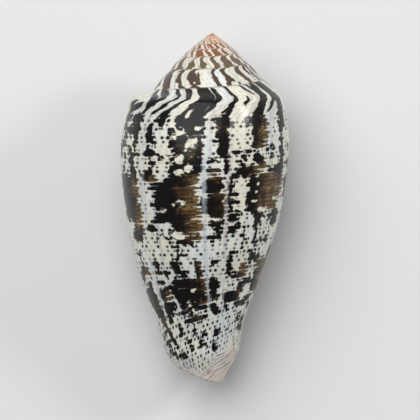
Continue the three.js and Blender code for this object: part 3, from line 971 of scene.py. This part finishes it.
dark_gap = distance_to(finish, place, BLACK_FLAMES + BLACK_BLOTCHES) - BLACK_SPREAD
brown_gap = distance_to(finish, place, BROWN_BLOTCHES) - BROWN_SPREAD
white_gap = distance_to(finish, place, WHITE_SPOTS)
ridge_place = finish.point(along + wander_across * RIDGE_WANDER, down_mm)
# the cool ridges: real low relief, with a painted highlight in their colour
sheen_ridge_gap = distance_to(finish, ridge_place, SHEEN_RIDGES)
pink_gap = distance_to(finish, ridge_place, PINK_RIDGES)
finish.count("strokes")

# %% [markdown]
# The rest of the last turn and the spire have no strokes of their own. There the same kinds
# of marks come from noise: blotches where it is high, in the same two bands, and flames at
# even steps that it bends. Each is scaled to act as a distance, so that it joins the strokes
# by taking the least. Where a kind of mark isn't wanted, it is raised out of reach.

# %% Blotches on the far side of the last turn
FAR_RIGHT = (80, 92)
FAR_LEFT = (-86, -98)
LAST_TURN_END = (240, 222)
FAR_LEVEL = 0.59
FAR_SLOPE = 14.0
FAR_BROWN = 0.7
OUT_OF_REACH = 20.0

far_side = (angle.between(*FAR_RIGHT) + angle.between(*FAR_LEFT)).least(1)
far_side = far_side * angle.between(*LAST_TURN_END)
upper_band = down_mm.within(22, 36, 4)
lower_band = down_mm.within(38, 50, 4)
far_noise = finish.noise(stepped * 0.17, row_middle * 0.16 + 5.0, 2.5)
far_gap = (FAR_LEVEL - upper_band * 0.09 - lower_band * 0.05 - far_noise) * FAR_SLOPE
far_gap = far_gap + (1 - far_side * on_body) * OUT_OF_REACH
dark_all = dark_gap.least(far_gap)
brown_all = brown_gap.least(far_gap - FAR_BROWN)
finish.count("far side")

# %% Flames of the spire, and of the ramp on the far side
FLAME_SPACING = 21.5
FLAME_HALF_WIDTH = 5.3
FLAME_START = 3.0
FLAME_WANDER = 30.0
SPIRE_ANGLES = (215, 228)

flame_noise = finish.noise(along * 0.16, down_mm * 0.25, 2.0) - 0.5
flame_detail = finish.noise(along * 0.55, down_mm * 1.1, 3.0) - 0.5
flame_degrees = along / MM_PER_DEGREE + FLAME_START + flame_noise * FLAME_WANDER
from_flame = abs((flame_degrees / FLAME_SPACING + 0.5).part() - 0.5) * FLAME_SPACING
flame_gap = (from_flame - FLAME_HALF_WIDTH) * 0.2 + flame_detail * 3.0
flamed = angle.between(*SPIRE_ANGLES).most(far_side * (1 - on_body))
flame_gap = flame_gap + (1 - flamed) * OUT_OF_REACH
finish.count("flames")

# %% [markdown]
# The band round the base is plain, with fine streaks that lean as the growth lines do there.
# It is widest on the side away from the lip. Its edge follows the streaks, and the small
# dots stop at it.

# %% Where the plain base begins
BASE_LEAST = 0.9
BASE_WIDER = 5.3
STREAK_SLANT = 0.05

base_width = angle.between(-30, 35) * angle.between(170, 90) * BASE_WIDER + BASE_LEAST
streaks = finish.noise(angle * 0.04, (down_mm + angle * STREAK_SLANT) * 3.0, 4.0)
base_edge = to_edge + wander_across * 2.5 + (streaks - 0.5) * 7.0 - base_width
near_base = base_edge.between(1.1, -1.1)
patterned = on_body * (1 - near_base)
print("base band, mm:", BASE_LEAST, "to", BASE_LEAST + BASE_WIDER)

# %% [markdown]
# Small dots sit along the rows, one to a cell, with some cells left empty. A random number
# for each cell moves its dot, sizes it and says whether it is there. There are more of them
# in the pale bands, near the tip and beside blotches.

# %% Small dots along the rows
DOT_SPACING = 1.55
DOT_WANDER = 0.55
DOT_SIZE = 0.13
DOT_LENGTH = 0.8
DOTTED = 0.44

by_blotch = dark_all.least(brown_all).between(1.2, 0.1)
dot_cell = along / DOT_SPACING + finish.speckle(row_index, 3.1)
dot_random = finish.speckle(dot_cell.whole(), row_index)
dot_across = (dot_cell.part() - 0.5 + (dot_random - 0.5) * DOT_WANDER) * DOT_SPACING
near_tip = down_mm.between(42, 48)
netted = down_mm.within(32, 43, 3) + down_mm.between(46, 49)
dotted = netted * 0.2 + near_tip * 0.2 + by_blotch * 0.2 + DOTTED
dot_share = ((dotted - (dot_random * 7.13).part()) * 14.0).clamped()
dot_size = dot_share * (odd_row * 0.07 + dot_random * 0.09 + near_tip * 0.03 + DOT_SIZE)
dot_size = dot_size + by_blotch * odd_row * 0.06
dot_offset = finish.point(dot_across * DOT_LENGTH, (row_part - 0.5) * pitch)
dot_gap = finish.vector("LENGTH", dot_offset, output=1) - dot_size * patterned
finish.count("dots")

# %% A thin net between some of the dots
NET_SCALE = 0.42
NET_WIDTH = 0.16

net_place = finish.point(stepped * 0.8, row_middle + wander_down * 0.5)
net_settings = {"voronoi_dimensions": "2D", "feature": "DISTANCE_TO_EDGE"}
net_edge = finish.node("ShaderNodeTexVoronoi", net_settings, net_place, Scale=NET_SCALE)
net_cloud = finish.noise(along * 0.22 + 7.0, down_mm * 0.22, 2.0)
net_shown = net_cloud.between(0.53, 0.62) * (netted * 0.7 + 0.3) * patterned
net_gap = net_edge * 2.4 - net_shown * NET_WIDTH + (1 - net_shown) * 0.3
finish.count("net")

# %% [markdown]
# All dark marks are joined by the least of their distances. A blotch is black where a dark
# stroke is near, and brown to golden further from it, with a dark line between rows. Early
# whorls hold less pigment, so their flames go from umber to rust and apricot at the apex.

# %% Put the pigment together
SOFTNESS = 0.10

black_gap = (dark_all + tooth).least(flame_gap).least(dot_gap).least(net_gap + tooth * 0.6)
brown_edge = brown_all + brown_tooth
brown_mask = brown_edge.between(SOFTNESS, -SOFTNESS)
pigment = black_gap.between(SOFTNESS, -SOFTNESS).most(brown_mask)
row_line = from_middle.between(0.35, 1.0)
grain = finish.noise(along * 0.9, row_place * 0.3, 3.0)
golden = grain.between(0.25, 0.75) * 0.5 + brown_all.between(-1.1, 0.1) * 0.5
brown_colour = finish.colour(golden, BROWN, GOLDEN)
brown_colour = finish.colour(row_line * 0.75, brown_colour, DARK_BROWN)
black_share = 1 - brown_mask * (dark_all + (grain - 0.5) * 1.6).between(-1.0, 1.6)

# sizes of whorl, against the last, at which each colour starts and is full
WHORL_COLOURS = [
    (0.74, 0.66, UMBER), (0.55, 0.47, TAUPE), (0.40, 0.34, RUST), (0.24, 0.12, APRICOT),
]
dark_colour = BLACK
for larger, smaller, whorl_colour in WHORL_COLOURS:
    dark_colour = finish.colour(size.between(larger, smaller), dark_colour, whorl_colour)
pigment_colour = finish.colour(black_share, brown_colour, dark_colour)
finish.count("pigment")

# %% [markdown]
# Under the pigment the ground is cream, cooler in clouds, with faint growth bands and fine
# lines. Pigment spreads a little into the shell round it, which shows as a grey halo. Over
# the pigment come the pale spots, the ridges, some with a painted highlight, painted shade
# in a fine line along the suture, and then the plain base and the inside of the mouth.

# %% The cream ground
growth_bands = finish.noise(line_angle * 0.11, down_mm * 0.02, 4.0)
cloud = finish.noise(along * 0.12, down_mm * 0.12, 3.0)
fine_lines = finish.noise(along * 1.2, down_mm * 0.05, 3.0)
line_share = down_mm.between(18, 13) * 0.5 + 0.1
tip_share = down_mm.between(46, 52) * cloud.between(0.4, 0.6) * 0.15

cool = cloud.between(0.35, 0.65) * 0.7 + down_mm.between(28, 46) * 0.15
ground = finish.colour(cool, CREAM, COOL_WHITE)
ground = finish.colour(growth_bands.between(0.58, 0.74) * 0.45, ground, BLUE_GREY)
ground = finish.colour(size.between(0.6, 0.25) * 0.8, ground, PINK_CREAM)
ground = finish.colour(fine_lines.between(0.52, 0.64) * line_share, ground, PINK_GREY)
ground = finish.colour(tip_share, ground, BLUE_GREY)
halo = black_gap.least(brown_edge).between(0.55, 0.0)
ground = finish.colour(halo * 0.30, ground, HALO_GREY)
finish.count("ground")

# %% Pigment, spots, ridges with painted highlight, and painted shade at the suture
# where the cool ridges are: drives their real bump and their painted blue-grey highlight
ridge_and_sheen = sheen_ridge_gap.between(0.28, -0.26)
pink_ridge = pink_gap.between(0.28, -0.26)
ridge_cover = cloud.between(0.25, 0.6) * 0.4 + 0.25
# painted shade: a thin darker line in the groove where the whorls meet
suture_shade = knot_place.between(0.28, 0.05) * size.between(0.12, 0.25)

coloured = finish.colour(pigment, ground, pigment_colour)
coloured = finish.colour((white_gap + tooth).between(0.12, -0.26), coloured, CREAM)
# painted highlight: blue-grey along the cool ridges
coloured = finish.colour(ridge_and_sheen * ridge_cover, coloured, RIDGE_SHEEN_BLUE)
coloured = finish.colour(pink_ridge * ridge_cover, coloured, PINK_GREY)
# painted shade along the suture, in taupe
coloured = finish.colour(suture_shade * 0.55, coloured, TAUPE)
finish.count("ridges")

# %% The plain base, and the porcelain inside
streak_share = base_edge.between(-3.5, 0.0) * 0.6 + 0.4
grey_streaks = streaks.between(0.45, 0.62) * streak_share
plain_base = finish.colour(grey_streaks, PINK_CREAM, BASE_GREY)
plain_base = finish.colour(streaks.between(0.46, 0.30) * 0.7, plain_base, COOL_WHITE)
coloured = finish.colour(near_base, coloured, plain_base)
coloured = finish.colour(inside.between(0.4, 0.9), coloured, PORCELAIN)
finish.count("every colour")

# %% [markdown]
# The gloss is soft over the whole shell, with a thin sharper coat. The ridges, the growth
# bands and the lines between rows are too low for the mesh, so a bump of hundredths of a
# millimetre stands in for them.

# %% Relief and gloss
BUMP_STRENGTH = 0.4
BUMP_HEIGHT = 0.00015

relief = row_line * -0.10 + growth_bands * 0.4
relief = relief + ridge_and_sheen.most(pink_ridge) * 0.8 + near_base * streaks
bumped = finish.node(
    "ShaderNodeBump", {}, Strength=BUMP_STRENGTH, Distance=BUMP_HEIGHT, Height=relief
)
finish.set(
    Base_Color=coloured, Roughness=0.3, Specular_IOR_Level=0.16, Normal=bumped,
    Coat_Weight=0.15, Coat_Roughness=0.1,
)
shell_mesh.materials.append(finish.material)
finish.count("relief and gloss")

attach(shell_wall, "root")
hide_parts("shell")

# %% [markdown]
# ## The set
# A plain pale floor, far wider than the shell, with a pale room all round.

# %% Floor
FLOOR_SIDE = 3.0
FLOOR_COLOUR = (0.72, 0.72, 0.71, 1)

floor_mesh = bpy.data.meshes.new("floor")
half = FLOOR_SIDE / 2
floor_mesh.from_pydata(
    [(-half, -half, 0), (half, -half, 0), (half, half, 0), (-half, half, 0)], [], [(0, 1, 2, 3)]
)
floor = bpy.data.objects.new("floor", floor_mesh)
bpy.context.scene.collection.objects.link(floor)
floor_finish = Finish("pale_floor")
floor_finish.set(Base_Color=FLOOR_COLOUR, Roughness=0.6)
floor_mesh.materials.append(floor_finish.material)
print("floor:", FLOOR_SIDE, "m wide")

# %% [markdown]
# ## The camera
# The view is of the middle of the shell's back, square to its axis but for a few degrees
# towards the apex. The shell lies down here, so the camera looks down on it. A long lens
# keeps the outline true.

# %% Camera
NOD = math.radians(4.5)
LENS = 600.0
SENSOR = 36.0
FIELD = 0.0721
AIM_DOWN = 0.0304
AIM_ACROSS = -0.00034

axis_up = Vector((0, math.cos(APEX_RISE), math.sin(APEX_RISE)))
square = Vector((0, -math.sin(APEX_RISE), math.cos(APEX_RISE)))
back = Vector((math.sin(ROLL), 0, 0)) + square * math.cos(ROLL)
towards_camera = back * math.cos(NOD) + axis_up * math.sin(NOD)
camera_up = axis_up * math.cos(NOD) - back * math.sin(NOD)
camera_right = camera_up.cross(towards_camera)

apex_place = Vector(shell_mesh.vertices[-1].co)
aim = apex_place - camera_up * AIM_DOWN + camera_right * AIM_ACROSS
camera_data = bpy.data.cameras.new("camera")
camera_data.lens = LENS
camera_data.sensor_width = SENSOR
camera = bpy.data.objects.new("camera", camera_data)
bpy.context.scene.collection.objects.link(camera)
camera.location = aim + towards_camera * FIELD * LENS / SENSOR
turned = Matrix((camera_right, camera_up, towards_camera)).transposed()
camera.rotation_euler = turned.to_euler()
bpy.context.scene.camera = camera
print("camera at", [round(x, 4) for x in camera.location])

# %% [markdown]
# ## The lights
# A glossy shell shows each light as a bright patch. The key light is wide and soft, above
# and to the left, so its patch is too faint to hide the pattern. The fill is smaller and on
# the right. It brings up the side that the key leaves dim, and its own bright spot is
# small. The pale room lights what both of them miss.

# %% Lights
KEY_PLACE, KEY_SIDE, KEY_WATTS = (-0.12, 0.22, 0.46), 0.6, 3.1
FILL_PLACE, FILL_SIDE, FILL_WATTS = (0.42, 0.16, 0.26), 0.09, 0.8
ROOM_COLOUR, ROOM_STRENGTH = (0.9, 0.92, 0.95, 1), 0.22


def add_light(name, place, side, watts):
    light_data = bpy.data.lights.new(name, "AREA")
    light_data.size = side
    light_data.energy = watts
    light = bpy.data.objects.new(name, light_data)
    light.location = place
    light.rotation_euler = (aim - Vector(place)).to_track_quat("-Z", "Y").to_euler()
    bpy.context.scene.collection.objects.link(light)


add_light("key", KEY_PLACE, KEY_SIDE, KEY_WATTS)
add_light("fill", FILL_PLACE, FILL_SIDE, FILL_WATTS)
world = bpy.data.worlds.new("room")
world.use_nodes = True
background = world.node_tree.nodes["Background"]
background.inputs["Color"].default_value = ROOM_COLOUR
background.inputs["Strength"].default_value = ROOM_STRENGTH
bpy.context.scene.world = world
bpy.context.scene.view_settings.view_transform = "Standard"
print("lights, W:", KEY_WATTS, FILL_WATTS, "room:", ROOM_STRENGTH)
